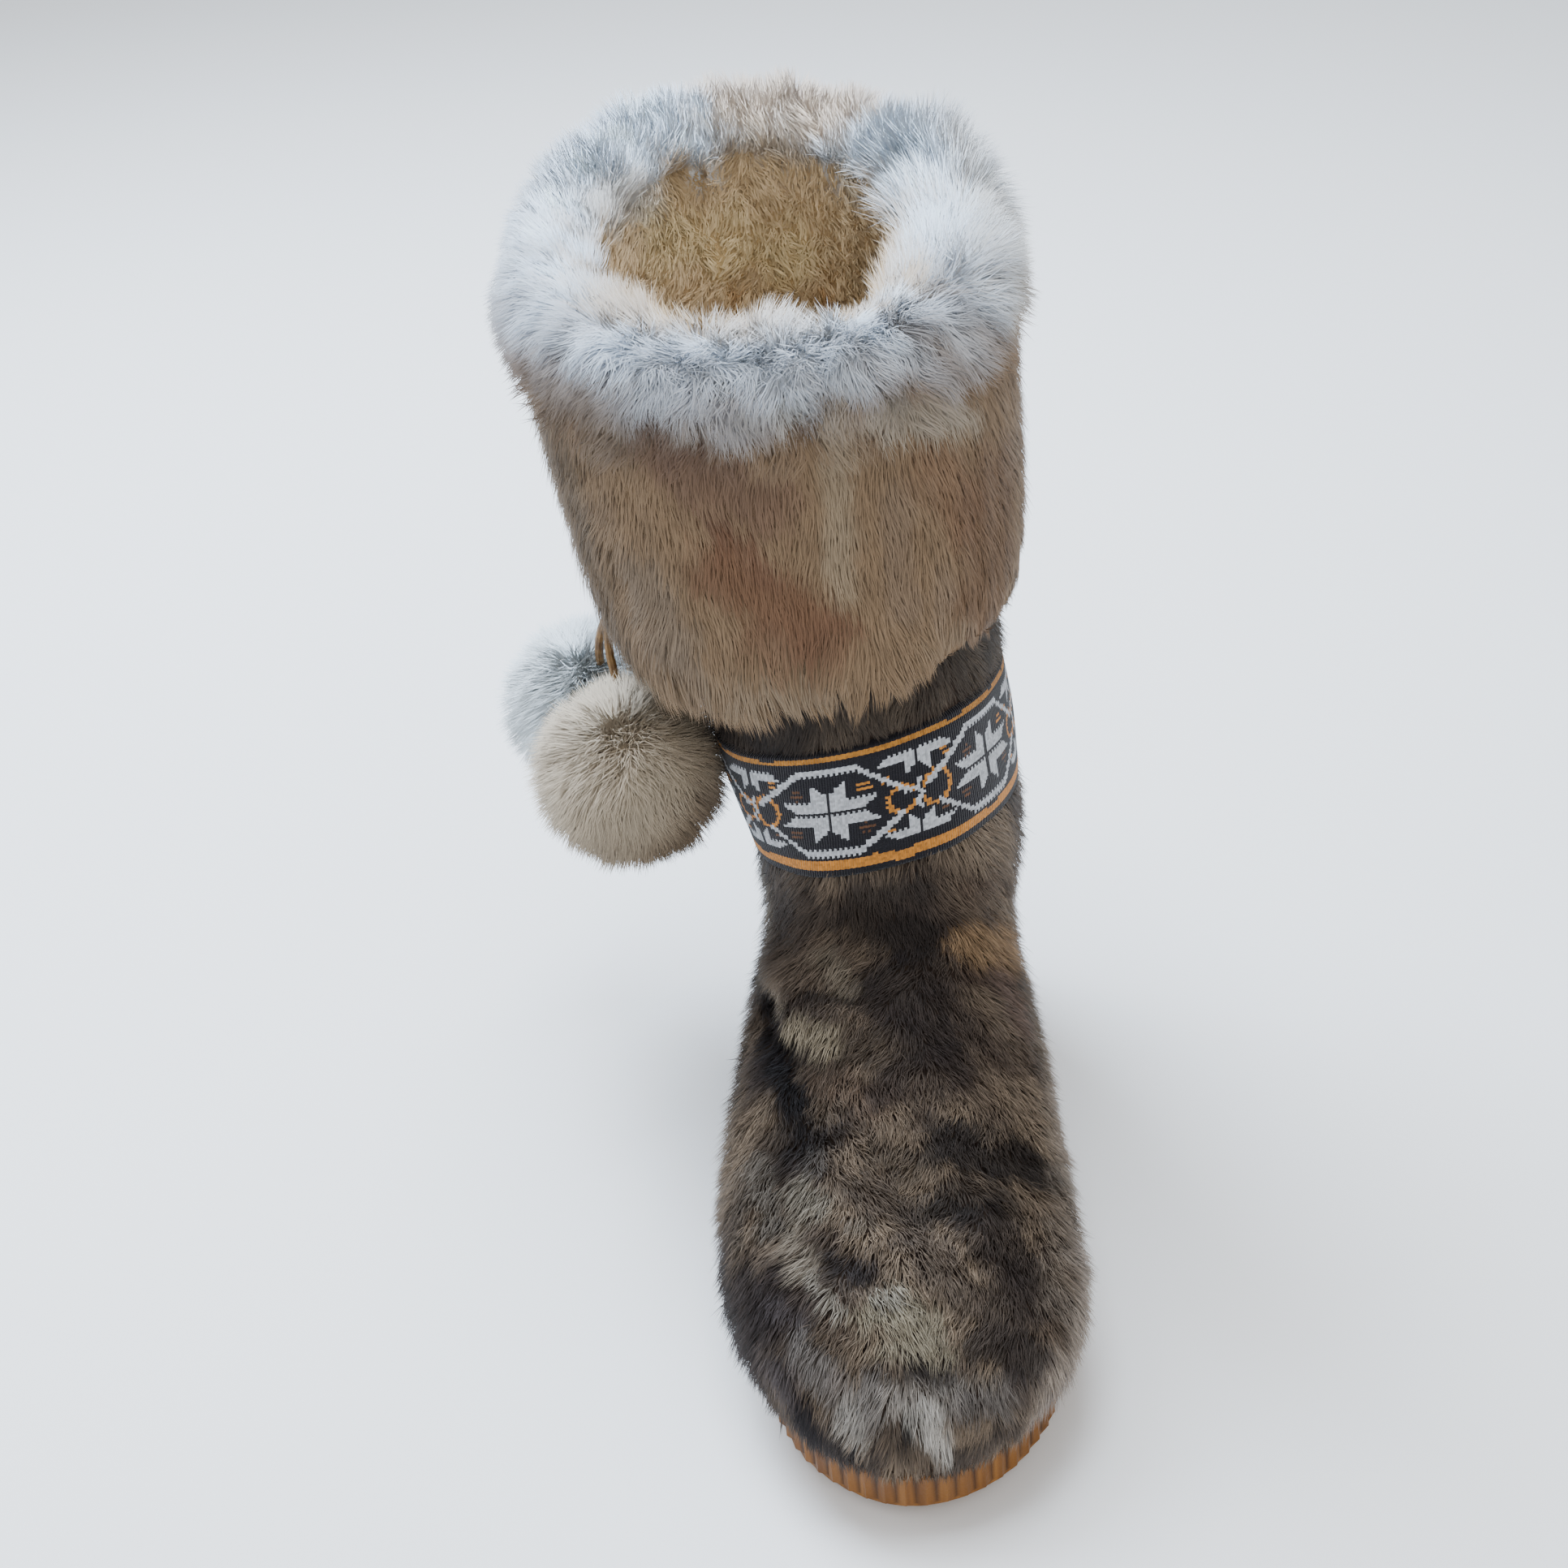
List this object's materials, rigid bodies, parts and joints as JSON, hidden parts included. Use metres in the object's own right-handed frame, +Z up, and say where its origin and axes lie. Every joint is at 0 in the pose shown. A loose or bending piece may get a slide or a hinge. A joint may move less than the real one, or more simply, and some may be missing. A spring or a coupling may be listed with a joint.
{
  "type": "winter boot",
  "caption": "Right-foot winter boot of short fur with a turned-down sheepskin cuff, a woven ankle band, fur pompoms and a ribbed gum rubber sole.",
  "frame": {"origin": "on the floor, at the middle of the heel's flat spot", "axes": "+Z up, -Y towards the toe, +Y towards the heel, -X towards the outer side of the foot, +X towards the inner side"},
  "size_m": [0.1942, 0.3096, 0.3389],
  "materials": {
    "sole": "satin honey gum rubber",
    "insole": "tan fleece",
    "upper": "short dark grey-brown fur",
    "cuff": "long cream and tan wool",
    "band": "woven black, white and orange",
    "tie": "matt tan leather",
    "pompom": "cream fur"
  },
  "bodies": {
    "root": {"sole": "sole", "insole": "insole", "upper": "upper", "cuff": "cuff", "band": "band", "tie_front": "tie", "tie_back": "tie", "pompom_front": "pompom", "pompom_back": "pompom"}
  },
  "joints": []
}
